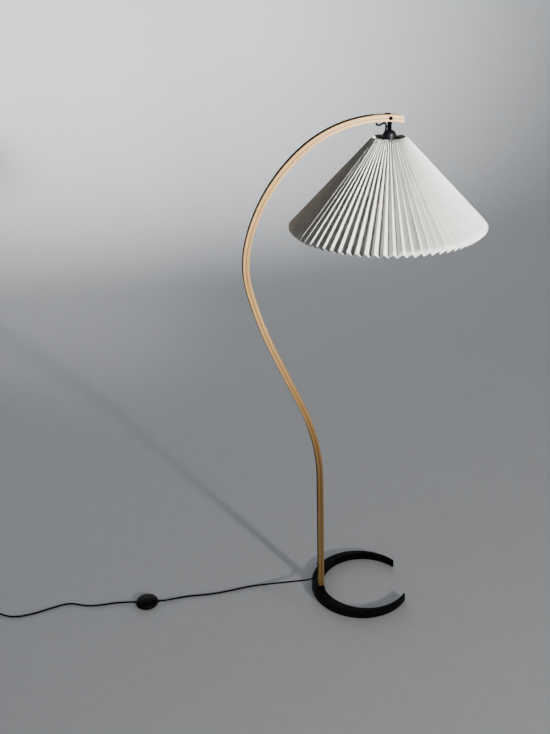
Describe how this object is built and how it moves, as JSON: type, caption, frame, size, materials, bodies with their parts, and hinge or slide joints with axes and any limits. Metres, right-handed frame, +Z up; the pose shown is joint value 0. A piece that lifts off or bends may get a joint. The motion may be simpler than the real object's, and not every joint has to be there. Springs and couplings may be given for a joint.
{
  "type": "arc floor lamp",
  "caption": "Floor lamp with a bent laminated wood stem on an open ring base, a pleated cone shade on a tilting lampholder, and a floor cord with a foot switch.",
  "frame": {"origin": "on the floor under the stem's foot, at the underside of the base's underlay", "axes": "+X from the stem's foot towards the shade, +Y square to the plane the stem lies in, +Z up"},
  "size_m": [1.7485, 0.5498, 1.5469],
  "materials": {
    "base_iron": "matte near-black paint",
    "felt": "black felt",
    "zinc_steel": "zinc plated",
    "stem_wood": "clear lacquered beech, satin",
    "core_wood": "clear lacquered, darker glue and core line",
    "cord_black": "smooth black cord sheath",
    "black_metal": "gloss black enamel",
    "rubber_black": "matte black rubber",
    "black_plastic": "satin black moulded plastic",
    "button_plastic": "satin black moulded plastic",
    "porcelain": "white glazed",
    "shell_brass": "nickel or plain brass",
    "black_wire": "black enamelled wire and hub",
    "shade_paper": "matte off-white pleated paper or lined cloth",
    "bulb_metal": "plain",
    "bulb_glass": "frosted"
  },
  "bodies": {
    "stand": {"base_casting": "base_iron", "base_underlay": "felt", "stem_bolts": "zinc_steel", "stem_inserts": "zinc_steel", "stem_outer_ply": "stem_wood", "stem_core_ply": "core_wood", "stem_inner_ply": "stem_wood", "stem_cord": "cord_black", "cord_clip": "black_metal", "cord_clip_screws": "zinc_steel", "pivot_bolt": "black_metal", "pivot_nut": "black_metal", "friction_washers": "rubber_black", "head_cord": "cord_black", "switch_base": "black_plastic", "switch_cover": "black_plastic", "switch_screws": "zinc_steel", "switch_feet": "rubber_black", "switch_contact_block": "black_plastic", "button_spring": "zinc_steel", "switch_gland_in": "rubber_black", "switch_gland_out": "rubber_black", "cord_to_switch": "cord_black", "cord_to_coil": "cord_black", "cord_coil": "cord_black", "coil_tie": "rubber_black", "plug_lead": "cord_black", "plug_relief": "rubber_black", "plug_body": "black_plastic", "plug_pins": "shell_brass"},
    "head": {"pivot_tongue": "black_metal", "neck_tube": "black_metal", "neck_locknut": "zinc_steel", "lampholder_cap": "black_plastic", "cord_grip": "rubber_black", "holder_cord": "cord_black", "lampholder_body": "black_plastic", "insulator_block": "porcelain", "screw_shell": "shell_brass", "centre_contact": "shell_brass", "terminal_screws": "shell_brass", "shade_carrier": "black_wire", "shade": "shade_paper"},
    "ring_nut": {"shade_ring_nut": "black_plastic"},
    "bulb": {"bulb_cap": "bulb_metal", "bulb_contact": "bulb_metal", "bulb_glass": "bulb_glass"},
    "foot_button": {"switch_button": "button_plastic"}
  },
  "joints": [
    {"name": "head_tilt", "type": "hinge", "parent": "stand", "child": "head", "pos_m": [0.193, 0, 1.5351], "axis": [0, 1, 0], "range_deg": [-30, 10], "deforming": ["head_cord"]},
    {"name": "bulb_twist", "type": "hinge", "parent": "head", "child": "bulb", "pos_m": [0.193, 0, 1.42], "axis": [0, 0, -1], "range_deg": [0, 1080]},
    {"name": "ring_nut_twist", "type": "hinge", "parent": "head", "child": "ring_nut", "pos_m": [0.193, 0, 1.465], "axis": [0, 0, -1], "range_deg": [0, 720]},
    {"name": "foot_button_press", "type": "slide", "parent": "stand", "child": "foot_button", "axis": [0, 0, -1], "range_m": [0, 0.003], "stiffness_N_per_m": 1200, "springref_m": -0.0015, "deforming": ["button_spring"]}
  ]
}
